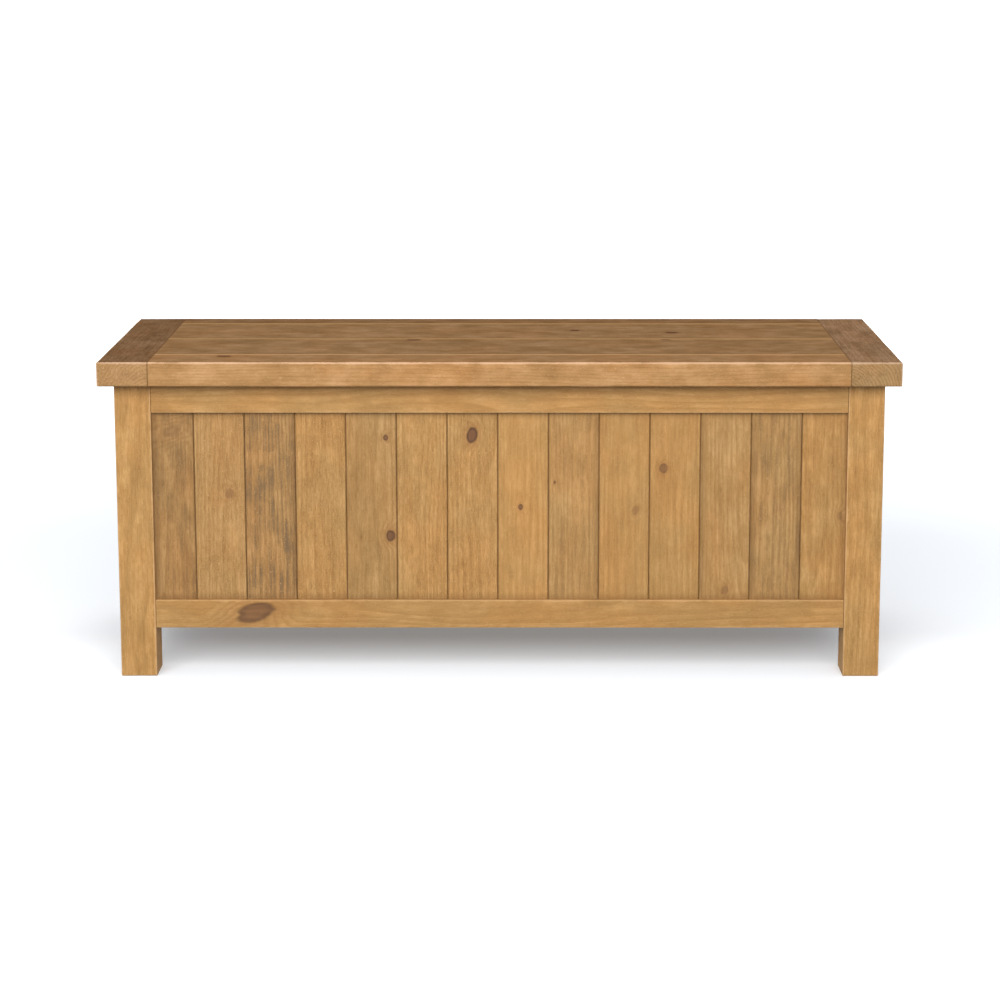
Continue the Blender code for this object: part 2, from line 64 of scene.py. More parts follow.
eye = bpy.data.objects.new("eye", bpy.data.cameras.new("eye"))
eye.data.lens = 83.85
eye.data.shift_x = -0.0167
eye.data.shift_y = -0.170
eye.location = (0.0270, packed_low.y - 3.1217, packed_high.z + 0.5571)
eye.rotation_euler = (math.radians(90 - 9.32), 0, 0.00108)
scene.collection.objects.link(eye)
scene.camera = eye

for name, place, watts in (
    ("front_light", Vector((-0.4, -2.9, 2.15)), 120),
    ("back_light", Vector((0.9, 3.4, 2.6)), 50),
):
    lamp = bpy.data.lights.new(name, "AREA")
    lamp.shape = "RECTANGLE"
    lamp.size = 4.0
    lamp.size_y = 2.0
    lamp.energy = watts
    soft_light = bpy.data.objects.new(name, lamp)
    soft_light.location = place
    soft_light.rotation_euler = (Vector((0, 0, 0.3)) - place).to_track_quat("-Z", "Y").to_euler()
    scene.collection.objects.link(soft_light)


class Field:
    """A number or colour that varies over a surface."""

    def __init__(self, writer, socket):
        self.writer = writer
        self.socket = socket

    def math(self, operation, *values):
        return self.writer.node("Math", {"operation": operation}, dict(enumerate(values)))

    def __add__(self, other):
        return self.math("ADD", self, other)

    def __sub__(self, other):
        return self.math("SUBTRACT", self, other)

    def __rsub__(self, other):
        return self.math("SUBTRACT", other, self)

    def __mul__(self, other):
        return self.math("MULTIPLY", self, other)

    def __truediv__(self, other):
        return self.math("DIVIDE", self, other)

    def __pow__(self, other):
        return self.math("POWER", self, other)

    def least(self, other):
        return self.math("MINIMUM", self, other)

    def most(self, other):
        return self.math("MAXIMUM", self, other)

    def size(self):
        return self.math("ABSOLUTE", self)

    def part(self):
        return self.math("FRACT", self)

    def step(self, start, end, low=0.0, high=1.0):
        """Low before start, high after end, and a smooth rise between them."""
        return self.writer.node(
            "MapRange",
            {"interpolation_type": "SMOOTHSTEP"},
            {0: self, 1: start, 2: end, 3: low, 4: high},
        )


class NodeWriter:
    """Adds nodes to a tree, so that what they work out can be written as expressions."""

    def __init__(self, tree):
        self.tree = tree

    def node(self, kind, settings=None, values=None, out=0):
        made = self.tree.nodes.new("ShaderNode" + kind)
        for name, setting in (settings or {}).items():
            if name != "stops":
                setattr(made, name, setting)
                continue
            for _ in setting[2:]:
                made.color_ramp.elements.new(0.5)
            for element, (place, colour) in zip(made.color_ramp.elements, setting):
                element.position = place
                element.color = colour
        for key, value in (values or {}).items():
            if isinstance(value, Field):
                self.tree.links.new(value.socket, made.inputs[key])
            else:
                made.inputs[key].default_value = value
        return Field(self, made.outputs[out])

    def places(self):
        """The surface point's x, y and z in metres."""
        point = self.node("TexCoord", out="Object")
        return [self.node("SeparateXYZ", values={0: point}, out=axis) for axis in range(3)]

    def point(self, x, y, z):
        return self.node("CombineXYZ", values={0: x, 1: y, 2: z})

    def cloud(self, point, detail=2.0, roughness=0.5, out="Fac"):
        """Soft random variation about 0.5, one unit to a cloud."""
        values = {"Vector": point, "Scale": 1.0, "Detail": detail, "Roughness": roughness}
        return self.node("TexNoise", values=values, out=out)

    def ramp(self, share, stops):
        return self.node("ValToRGB", {"stops": stops}, {0: share})

    def mix(self, share, first, second, blend="MIX"):
        colour = {"data_type": "RGBA", "blend_type": blend}
        return self.node("Mix", colour, {0: share, 6: first, 7: second}, out=2)


class Finish(NodeWriter):
    """A material, with its shader."""

    def __init__(self, name, shine=0.5):
        self.material = bpy.data.materials.new(name)
        self.material.use_nodes = True
        super().__init__(self.material.node_tree)
        self.shader = self.tree.nodes["Principled BSDF"]
        self.shader.inputs["Specular IOR Level"].default_value = shine

    def done(self, colour, roughness, height, depth, metal=0.0):
        """Feeds the shader and returns the material."""
        bump = self.node("Bump", values={"Strength": 1.0, "Distance": depth, "Height": height})
        self.shader.inputs["Metallic"].default_value = metal
        for key, value in (("Base Color", colour), ("Roughness", roughness), ("Normal", bump)):
            self.tree.links.new(value.socket, self.shader.inputs[key])
        return self.material


# The room is dim below the floor, bright all round and softer overhead
room = bpy.data.worlds.new("white_room")
room.use_nodes = True
sky = NodeWriter(room.node_tree)
up = sky.node("SeparateXYZ", values={0: sky.node("TexCoord", out="Generated")}, out="Z")
room_bands = [(0.0, 0.28), (0.47, 0.28), (0.485, 1.0), (0.66, 1.0), (0.80, 0.55), (1.0, 0.55)]
daylight = sky.ramp(up * 0.5 + 0.5, [(place, (grey, grey, grey, 1)) for place, grey in room_bands])
room.node_tree.links.new(daylight.socket, room.node_tree.nodes["Background"].inputs["Color"])
scene.world = room

floor_mesh = bpy.data.meshes.new("floor")
floor_shape = bmesh.new()
bmesh.ops.create_grid(floor_shape, x_segments=1, y_segments=1, size=60)
floor_shape.to_mesh(floor_mesh)
floor_shape.free()
floor = bpy.data.objects.new("floor", floor_mesh)
floor.location.z = packed_low.z
floor.visible_diffuse = False
scene.collection.objects.link(floor)

# The paper glows white away from the bench, and a little more in front of it than behind
paper = Finish("white_paper", shine=0.0)
x, y, _ = paper.places()
far_off = ((x * x + y * y) ** 0.5).step(0.9, 3.0)
in_front = y.step(0.05, -0.09, 0.0, 0.13)
WHITE = (1, 1, 1, 1)
glow = paper.mix(far_off, (0.065, 0.085, 0.105, 1), WHITE)
glow = paper.mix(in_front, glow, WHITE, "ADD")
paper.tree.links.new(glow.socket, paper.shader.inputs["Emission Color"])
paper.shader.inputs["Emission Strength"].default_value = 1.0
paper.shader.inputs["Base Color"].default_value = (0.88, 0.90, 0.93, 1)
paper.shader.inputs["Roughness"].default_value = 0.9
floor_mesh.materials.append(paper.material)

# Legs: four square pine posts with mortises for the rails. Their outer arrises are rounded by
# wear and the feet are eased. Their arrises are painted pale, partly wear and partly a painted
# highlight. Waxed honey pine, with the growth rings running up the post.
def shade(colour, red, green=None, blue=None):
    """The colour made lighter or darker, by one number or by one for each part of it."""
    by = (red, red if green is None else green, red if blue is None else blue)
    return (*(c * b for c, b in zip(colour, by)), 1)


HONEY = (0.395, 0.212, 0.069)
TAN = (0.372, 0.205, 0.071)
WALNUT_BROWN = (0.318, 0.169, 0.057)
GREY_BROWN = (0.155, 0.100, 0.052, 1)
HEARTWOOD = [(0.3, (0.190, 0.085, 0.040, 1)), (0.7, (0.090, 0.040, 0.021, 1))]
KNOT_RIM = (0.050, 0.024, 0.013, 1)
RUDDY = (1.08, 0.98, 0.86, 1)
OLIVE = (0.94, 1.02, 1.06, 1)
YEAR = 0.0042
TOP_SKIN = 0.0014
GRAIN_DEPTH = 0.00045


class Pine(Finish):
    """Pine sawn from a log whose growth rings run along `grain`, with `face` its show side."""

    def __init__(self, name, low, high, grain, face, seed, shine):
        super().__init__(name, shine)
        self.low, self.high, self.seed = low, high, seed
        self.middle = (low + high) / 2
        self.xyz = self.places()
        self.grain_axis = "XYZ".index(grain)
        self.along = self.xyz[self.grain_axis]
        deep = "XYZ".index(face[1])
        depth = self.xyz[deep]
        self.behind = (depth - low[deep]) if face[0] == "-" else (high[deep] - depth)
        self.wide_axis = 3 - self.grain_axis - deep
        self.across = self.xyz[self.wide_axis] - self.middle[self.wide_axis]
        self.fine = self.figure(560, 70, 4.0, 0.65, shift=(0, 0, 1))
        self.streak = self.figure(210, 9, 4.0, 0.6, shift=(1, 0, 0))
        self.stain = self.figure(42, 24, 6.0, 0.66, shift=(0, -1, 0))
        self.marks = self.figure(300, 300, 3.0, 0.7, shift=(-1, 0, 0))

    def figure(self, close, long, detail=2.0, roughness=0.5, shift=(0, 0, 0), out="Fac"):
        """Clouds, `close` of them in a metre across the grain and `long` along it."""
        places = (self.across * close, self.behind * close, self.along * long)
        moved = [place + step * self.seed if step else place for place, step in zip(places, shift)]
        return self.cloud(self.point(*moved), detail, roughness, out)

    def grow(self, pith, lean, knots):
        """Rings about a wandering pith, bent round the knots, which have heart, rim and halo."""
        slow = self.figure(10, 1.7, shift=(1, 0, 1), out=1)
        sway = self.node("SeparateColor", values={0: slow}, out=0)
        swell = self.node("SeparateColor", values={0: slow}, out=1)
        ripple = self.figure(70, 9, shift=(0, 1, 0))
        leaning = (self.along - self.middle[self.grain_axis]) * lean
        u = self.across + (sway - 0.5) * 0.03 - leaning - pith[0]
        v = self.behind + (swell - 0.5) * 0.04 - pith[1]
        distance = (u * u + v * v) ** 0.5 + (ripple - 0.5) * 0.0016
        core, rim, halo = None, None, None
        for spot, side, radius, darkness, stretch, skew in knots:
            z = (self.along - spot) / (radius * stretch)
            x = (self.across - (side - self.middle[self.wide_axis])) / radius - z * skew
            near = (x * x + z * z) ** 0.5 + (ripple - 0.5) * 1.1
            distance = distance + near.step(0.0, 3.2, radius * 1.5, 0.0)
            here = near.step(0.85, 1.1, darkness, 0.0)
            outline = max(0.0, 1.4 * darkness - 0.55)
            edge = near.step(0.50, 0.90, 0.0, outline) * near.step(0.95, 1.2, 1.0, 0.0)
            around = near.step(0.9, 2.6, darkness, 0.0)
            core = here if core is None else core.most(here)
            rim = edge if rim is None else rim.most(edge)
            halo = around if halo is None else halo.most(around)
        year = (distance / YEAR).part()
        late = year.step(0.25, 0.85) * year.step(0.90, 1.0, 1.0, 0.0)
        return late, core, rim, halo

    def bare(self, base, late, rings, streaks, mottle, fibre, sawn):
        """The wood's own colour, from its fibres, streaks, cloudy stain and years."""
        dark = (self.fine - 0.5) * (1.3 * fibre) + (self.streak - 0.5) * (0.8 * streaks)
        dark = dark + (self.stain - 0.5) * (0.8 * mottle)
        from_low = (self.along - self.low[self.grain_axis]).size()
        from_high = (self.high[self.grain_axis] - self.along).size()
        ends = from_low.least(from_high).step(0.0004, 0.0014, 1.0, 0.0)
        dark = dark * (1.0 - ends * 0.6)
        shown = self.stain.step(0.35, 0.6, 1.0, 0.35) + ends * 0.5
        dark = dark + (late - 0.45) * (0.22 * rings) * shown + 0.42
        if sawn:
            dark = dark + (self.marks - 0.5) * (1.6 * sawn) * self.stain.step(0.4, 0.65, 0.25, 1.0)
        stops = [
            (0.0, shade(base, 1.42, 1.50, 1.75)),
            (0.40, shade(base, 1.04)),
            (0.70, shade(base, 0.80, 0.76, 0.70)),
            (1.0, shade(base, 0.48, 0.42, 0.36)),
        ]
        return self.ramp(dark, stops)

    def waxed(self, colour, base, grey, sawn):
        """Ruddy and olive patches, grey bands, and flecks and pores that hold wax and dust."""
        patch = self.figure(16, 9, 3.0, shift=(-1, 0, 1))
        tint = self.mix(patch.step(0.36, 0.62), RUDDY, OLIVE)
        colour = self.mix(0.35, colour, tint, "MULTIPLY")
        if grey:
            band = self.streak.step(0.42, 0.62) * self.stain.step(0.38, 0.58)
            colour = self.mix(band * grey, colour, GREY_BROWN)
        fleck = self.marks.step(0.565, 0.64) * self.fine.step(0.42, 0.54)
        colour = self.mix(fleck * (0.35 + 0.35 * sawn), colour, shade(base, 1.55, 1.78, 2.3))
        pore = self.marks.step(0.36, 0.28)
        return self.mix(pore * 0.40, colour, shade(base, 0.50, 0.43, 0.36))

    def wear_and_painted_light(self, colour, base, outer, worn, aged_top):
        """Darker on top, partly with age where the wood is a seat and partly a painted shade; paler
        on the arrises, partly wear and partly a painted highlight.
        """
        low, high = outer or (self.low, self.high)
        gaps = [(self.xyz[i] - low[i]).size().least((high[i] - self.xyz[i]).size()) for i in range(3)]
        arris = gaps[0].least(gaps[1]).most(gaps[0].most(gaps[1]).least(gaps[2]))
        # The arrises are painted paler: partly wear, partly a painted highlight where they catch the
        # light.
        pale = arris + (self.stain - 0.5) * 0.005 + (self.fine - 0.5) * 0.003
        pale = pale.step(0.0006, 0.0018 + 0.0018 * worn, worn, 0.0)
        # The top skin is painted darker: partly age, partly a painted shade for the dimmer light on
        # the top.
        if aged_top:
            top = (self.xyz[2] - (self.high[2] - TOP_SKIN)).step(0.0, 0.0010)
            aged = self.mix(1.0, colour, (*aged_top, 1), "MULTIPLY")
            colour = self.mix(top, colour, aged)
        return self.mix(pale, colour, shade(base, 1.55, 1.80, 2.70))

    def soiled_and_shaded(self, colour, base, joints, dirt):
        """Dark joints: a thin line of dust; a wide band, dust at some board edges and a painted shade
        in recesses; or a line beside a pale strip that is a painted highlight.
        """
        uneven = (self.stain - 0.5) * 0.004
        grime_and_shade = None
        for side in joints:
            i = "XYZ".index(side[1])
            place = self.xyz[i]
            beside = ((place - self.low[i]) if side[0] == "-" else (self.high[i] - place)).size()
            line = (beside + uneven * 0.5).step(0.0002, 0.0016, dirt, 0.0)
            # A wide band: dust at some board edges, and a painted shade in the recesses along the
            # rails.
            if side.endswith("wide"):
                line = line.most((beside + uneven * 3.5).step(0.0, 0.0120, dirt * 0.6, 0.0))
            # A pale strip beside the joint: a painted highlight.
            if side.endswith("pale"):
                pale = (beside + uneven).step(0.0060, 0.0100, 0.6, 0.0)
                colour = self.mix(pale, colour, shade(base, 1.25, 1.32, 1.50))
            grime_and_shade = line if grime_and_shade is None else grime_and_shade.most(line)
        if grime_and_shade is None:
            return colour
        return self.mix(grime_and_shade, colour, shade(base, 0.26, 0.21, 0.16))


def pine(
    name,
    low,
    high,
    grain="Z",
    face="-Y",
    tone=HONEY,
    light=1.0,
    pith=(0.01, 0.05),
    lean=0.0,
    rings=1.0,
    streaks=1.0,
    mottle=1.0,
    grey=0.0,
    sawn=0.0,
    fibre=1.0,
    outer=None,
    worn=0.5,
    joints=(),
    dirt=0.7,
    aged_top=None,
    shine=0.22,
    knots=(),
    seed=0.0,
):
    """A pine finish for one piece.

    `low` and `high` are the corners of what shows of the piece. `pith` is the middle of the
    log: how far across from the piece's middle, and how far behind the show side. Dark lines
    gather at the sides named in `joints`: dust in the joints, a painted shade where a side lies
    in a recess, and a painted highlight beside the pale ones. The arrises of the box `outer` are
    painted pale, partly wear and partly a painted highlight. A top colour, if given, paints the
    top darker, partly age and partly a painted shade. A knot is (along, across, radius,
    darkness, stretch, skew).
    """
    wood = Pine(name, low, high, grain, face, seed, shine)
    base = shade(tone, light)
    late, core, rim, halo = wood.grow(pith, lean, knots)
    colour = wood.bare(base, late, rings, streaks, mottle, fibre, sawn)
    colour = wood.waxed(colour, base, grey, sawn)
    roughness = (wood.fine - 0.5) * 0.35 + late * 0.06 + 0.58
    height = wood.fine * 0.9 - late * 0.3 + (wood.marks - 0.5) * (0.5 + sawn)
    if knots:
        colour = wood.mix(halo * 0.40, colour, shade(base, 0.66, 0.48, 0.40))
        colour = wood.mix(core, colour, wood.ramp(wood.streak, HEARTWOOD))
        colour = wood.mix(rim * 0.75, colour, KNOT_RIM)
        height = height - core * 0.4
    colour = wood.wear_and_painted_light(colour, base, outer, worn, aged_top)
    colour = wood.soiled_and_shaded(colour, base, joints, dirt)
    return wood.done(colour, roughness, height, GRAIN_DEPTH)


def rows(low, high, ease, spacing):
    """Where to cut a face across: close together at both ends, for the arrises."""
    near = [ease * share for share in (0.0, 0.2, 0.5, 0.9, 1.4, 2.4)]
    inner = high - low - 2 * near[-1]
    count = max(1, round(inner / spacing))
    between = [low + near[-1] + inner * i / count for i in range(1, count)]
    return [low + n for n in near] + between + [high - n for n in reversed(near)]


def worn_timber(name, low, high, ease, material, body, replaced, seed):
    """A planed timber, its arrises unevenly rounded by wear and its faces slightly hollow.

    `ease` gives each side's round-over: an arris takes the smaller one of its two sides.
    """
    widest = max(ease.values())
    cuts = [rows(low[i], high[i], widest, 0.018) for i in range(3)]
    shape = bmesh.new()
    for i in range(3):
        j, k = (i + 1) % 3, (i + 2) % 3
        for side in (0, -1):
            grid = []
            for v in cuts[j]:
                line = []
                for w in cuts[k]:
                    place = [0, 0, 0]
                    place[i], place[j], place[k] = cuts[i][side], v, w
                    line.append(shape.verts.new(place))
                grid.append(line)
            for first, second in zip(grid, grid[1:]):
                for n in range(len(first) - 1):
                    shape.faces.new((first[n], second[n], second[n + 1], first[n + 1]))
    bmesh.ops.remove_doubles(shape, verts=shape.verts, dist=1e-6)

    for vert in shape.verts:
        start = vert.co.copy()
        signs = ["-" if start[i] - low[i] < high[i] - start[i] else "+" for i in range(3)]
        sides = [sign + axis for sign, axis in zip(signs, "XYZ")]
        gaps = [min(start[i] - low[i], high[i] - start[i]) for i in range(3)]
        wander = noise.noise(start * 23 + Vector((seed, 0, 0)))
        chips = noise.noise(start * 160 + Vector((0, seed, 0)))
        hollow = 0.00012 * (1 + noise.noise(start * 15 + Vector((0, 0, seed))))
        for i, j in ((0, 1), (1, 2), (0, 2)):
            radius = min(ease[sides[i]], ease[sides[j]])
            radius *= 0.80 + 0.40 * wander + 0.25 * max(0.0, chips)
            reach = (radius - gaps[i], radius - gaps[j])
            length = math.hypot(*reach)
            if min(reach) > 0 and length > radius:
                gaps[i] = radius - reach[0] * radius / length
                gaps[j] = radius - reach[1] * radius / length
        for i in range(3):
            if gaps[i] < hollow and ease[sides[i]] > 0.001:
                gaps[i] = hollow
            vert.co[i] = low[i] + gaps[i] if signs[i] == "-" else high[i] - gaps[i]
    bmesh.ops.recalc_face_normals(shape, faces=shape.faces)
    mesh = bpy.data.meshes.new(name)
    shape.to_mesh(mesh)
    shape.free()
    mesh.shade_smooth()
    mesh.materials.append(material)
    piece = bpy.data.objects.new(name, mesh)
    scene.collection.objects.link(piece)
    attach(piece, body)
    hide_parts(*replaced)


def every_side(ease, **others):
    """The same round-over on every side, apart from those named, such as left or top."""
    names = dict(left="-X", right="+X", front="-Y", back="+Y", bottom="-Z", top="+Z")
    return {side: others.get(name, ease) for name, side in names.items()}


LEG_EASE = 0.0026
HIDDEN_EASE = 0.0010
leg_habits = {
    "leg_front_left": dict(pith=(-0.012, 0.075), lean=0.010, seed=1.7, light=1.05),
    "leg_front_right": dict(pith=(0.016, 0.082), lean=-0.012, seed=4.1, light=1.05),
    "leg_rear_left": dict(pith=(0.030, 0.060), lean=0.008, seed=6.3),
    "leg_rear_right": dict(pith=(-0.028, 0.066), lean=-0.006, seed=8.9),
}
for name, habit in leg_habits.items():
    low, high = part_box(name)
    inner = {"left" if "right" in name else "right": HIDDEN_EASE}
    inner["back" if "front" in name else "front"] = HIDDEN_EASE
    face = "-Y" if "front" in name else "+Y"
    finish = pine(name + "_pine", low, high, "Z", face, fibre=0.7, sawn=0.4, **habit)
    ease = every_side(LEG_EASE, top=HIDDEN_EASE, **inner)
    worn_timber(name.replace("leg", "post"), low, high, ease, finish, "frame", [name], habit["seed"])

# Rails: top and bottom between the legs on all four sides, tenoned into the legs and grooved
# for the boards. The same waxed pine, laid flat; one big red knot shows low on the front.
def refinish(name, material):
    """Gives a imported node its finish."""
    nodes[name].data.materials.clear()
    nodes[name].data.materials.append(material)


big_knot = ((-0.341, 0.093, 0.0132, 0.72, 1.95, 0.35),)
rail_habits = {
    "rail_front_top": ("X", "-Y", dict(pith=(-0.03, 0.05), lean=0.004, seed=2.2)),
    "rail_front_bottom": ("X", "-Y", dict(pith=(0.02, 0.05), lean=-0.003, seed=3.6, knots=big_knot)),
    "rail_rear_top": ("X", "+Y", dict(pith=(0.02, 0.06), seed=5.2)),
    "rail_rear_bottom": ("X", "+Y", dict(pith=(-0.02, 0.05), seed=7.7)),
    "rail_left_top": ("Y", "-X", dict(pith=(0.01, 0.05), seed=1.1)),
    "rail_left_bottom": ("Y", "-X", dict(pith=(-0.02, 0.06), seed=9.4)),
    "rail_right_top": ("Y", "+X", dict(pith=(0.03, 0.05), seed=12.3)),
    "rail_right_bottom": ("Y", "+X", dict(pith=(-0.01, 0.07), seed=13.8)),
}
for name, (grain, face, habit) in rail_habits.items():
    low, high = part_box(name)
    # Their arrises are painted a little pale: partly wear, partly a painted highlight.
    habit.update(fibre=0.4, streaks=0.45, mottle=0.9, worn=0.4)
    refinish(name, pine(name + "_pine", low, high, grain, face, **habit))

# Front boards: fourteen tongued boards standing in the rails' grooves, each with its own
# colour, from honey to a streaky grey-brown. Sawn, brushed and waxed, with a few knots.
front_boards = [
    dict(tone=WALNUT_BROWN, light=1.0, mottle=1.4, grey=0.3, fibre=0.8),
    dict(tone=TAN, light=0.98, sawn=1.0),
    dict(tone=WALNUT_BROWN, light=1.03, streaks=1.2, grey=0.75, sawn=1.0, mottle=1.3, rings=1.2),
    dict(tone=HONEY, light=0.96, sawn=1.0),
    dict(tone=TAN, light=0.95, mottle=1.3, fibre=0.7, sawn=0.3),
    dict(tone=HONEY, light=0.98, sawn=0.8),
    dict(tone=HONEY, light=0.98, sawn=0.9),
    dict(tone=HONEY, light=1.06, fibre=0.5, mottle=0.8, rings=0.5),
    dict(tone=TAN, light=1.02, fibre=0.6, grey=0.15),
    dict(tone=HONEY, light=1.00, fibre=0.4, mottle=0.9, rings=0.5),
    dict(tone=HONEY, light=0.98, fibre=0.5, mottle=0.9, rings=0.5),
    dict(tone=TAN, light=0.99, fibre=0.6, mottle=1.2),
    dict(tone=TAN, light=0.94, fibre=0.7, mottle=1.2, grey=0.3, streaks=1.3, sawn=0.4),
    dict(tone=HONEY, light=0.97, fibre=0.7, mottle=1.2),
]
front_knots = {
    0: [(0.350, -0.452, 0.012, 0.25, 0.9, 0.4)],
    1: [(0.261, -0.374, 0.006, 0.35, 1.3, 0.0)],
    4: [(0.340, -0.157, 0.0035, 0.85, 1.2, 0.0), (0.201, -0.151, 0.0066, 0.85, 1.2, 0.0)],
    6: [(0.343, -0.039, 0.0072, 0.9, 1.45, 0.2)],
    7: [(0.242, 0.029, 0.003, 0.8, 1.3, 0.0)],
    8: [(0.277, 0.076, 0.002, 0.8, 1.3, 0.0)],
    9: [(0.237, 0.188, 0.0045, 0.35, 1.4, 0.3)],
    10: [(0.297, 0.227, 0.0052, 0.6, 1.2, 0.0)],
    11: [(0.123, 0.314, 0.0045, 0.35, 1.4, 0.2)],
    13: [(0.229, 0.472, 0.0045, 0.35, 1.4, 0.0)],
}
front_joints = [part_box(f"front_board_{i:02d}")[0].x for i in range(2, 15)]
front_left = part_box("leg_front_left")[1].x
front_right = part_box("leg_front_right")[0].x
front_edges = [front_left, *front_joints, front_right]
panel_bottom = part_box("rail_front_bottom")[1].z
panel_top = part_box("rail_front_top")[0].z
for i, habit in enumerate(front_boards):
    name = f"front_board_{i + 1:02d}"
    low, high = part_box(name)
    low.x, high.x = front_edges[i], front_edges[i + 1]
    low.z, high.z = panel_bottom, panel_top
    habit.update(pith=(0.03 * math.sin(2.4 * i), 0.045 + 0.02 * math.cos(1.9 * i)))
    habit.update(lean=0.012 * math.sin(3.1 * i), seed=1.3 * i + 1.3)
    habit.update(knots=front_knots.get(i, ()))
    # Along the rails, at top and bottom, each board is painted darker in a wide band: a painted shade
    # in the recess. The wide bands at some side joints are dust.
    left = "-Xwide" if i in (0, 11, 12) else "-X"
    right = "+Xwide" if i in (2, 8, 12, 13) else "+X"
    habit.update(joints=(left, right, "-Zwide", "+Zwide"), dirt=0.55, worn=0.15)
    refinish(name, pine(name + "_pine", low, high, "Z", "-Y", **habit))

# End boards: four tongued boards in each end, like those of the front.
for side, face in (("left", "-X"), ("right", "+X")):
    for i in range(4):
        name = f"{side}_board_{i + 1:02d}"
        low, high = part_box(name)
        if i < 3:
            high.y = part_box(f"{side}_board_{i + 2:02d}")[0].y
        low.z, high.z = panel_bottom, panel_top
        seed = 20.5 + 1.3 * i + (9 if side == "right" else 0)
        finish = pine(
            name + "_pine",
            low,
            high,
            "Z",
            face,
            tone=(TAN, HONEY, HONEY, WALNUT_BROWN)[(i + len(side)) % 4],
            light=0.96,
            pith=(0.03 * math.sin(seed), 0.05),
            lean=0.012 * math.sin(2 * seed),
            sawn=0.6,
            worn=0.15,
            # The wide bands at top and bottom are a painted shade in the recess along the rails.
            joints=("-Y", "+Y", "-Zwide", "+Zwide"),
            seed=seed,
        )
        refinish(name, finish)

# Back boards: the back is closed by the same boards, with their V-joints outwards.
BACK_GAP = 0.0002
V_JOINT = 0.0014
low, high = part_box("rear_panel")
back_edges = [low.x, *front_joints, high.x]
for i in range(14):
    board_low = Vector((back_edges[i], low.y, low.z))
    board_high = Vector((back_edges[i + 1] - BACK_GAP, high.y, high.z))
    name = f"back_board_{i + 1:02d}"
    shown_low = Vector((board_low.x, low.y, panel_bottom))
    shown_high = Vector((board_high.x, high.y, panel_top))
    finish = pine(
        name + "_pine",
        shown_low,
        shown_high,
        "Z",
        "+Y",
        tone=(HONEY, TAN, HONEY, WALNUT_BROWN, HONEY)[(3 * i) % 5],
        light=0.95,
        pith=(0.03 * math.sin(1.7 * i), 0.05),
        lean=0.01 * math.sin(2.3 * i),
        sawn=0.6,
        worn=0.15,
        # The wide bands at top and bottom are a painted shade in the recess along the rails.
        joints=("-X", "+X", "-Zwide", "+Zwide"),
        seed=50 + 1.9 * i,
    )
    ease = every_side(V_JOINT)
    worn_timber(name, board_low, board_high, ease, finish, "frame", ["rear_panel"], i)

# Floor and bearers: a thin plywood floor rests on two raw pine strips screwed to the bottom
# rails. Neither is waxed, so both are paler than the outside.
BIRCH = (0.560, 0.400, 0.235)
RAW_PINE = (0.600, 0.410, 0.215)
low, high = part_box("floor_panel")
refinish(
    "floor_panel",
    pine("birch_ply", low, high, "X", "+Z", tone=BIRCH, fibre=0.4, streaks=0.5, worn=0.0, seed=71),
)
for name in ("bearer_front", "bearer_rear"):
    low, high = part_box(name)
    seed = 73 + high.y
    finish = pine(name + "_pine", low, high, "X", "+Z", tone=RAW_PINE, sawn=0.8, worn=0.2, seed=seed)
    refinish(name, finish)

# Lid: four boards edge to edge, tongued at their ends into a cleat across each end. The top
# is painted darker, partly with use and partly a painted shade. Its upper arris is painted pale
# all round, partly wear and partly a painted highlight, and the lower one is not.
LID_GAP = 0.00015
LID_EASE = 0.0030
TIGHT = 0.0004
lid_low, lid_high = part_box("lid_cleat_left")
right_low, right_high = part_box("lid_cleat_right")
inner_left = lid_high.x + LID_GAP
inner_right = right_low.x - LID_GAP
lid_joints = [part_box(f"lid_board_{i}")[0].y for i in (2, 3, 4)]
lid_edges = [lid_low.y, *lid_joints, lid_high.y]
below = Vector((0, 0, 0.010))
lid_outer = (lid_low - below, right_high)
ROSE_HONEY = (0.395, 0.213, 0.086)
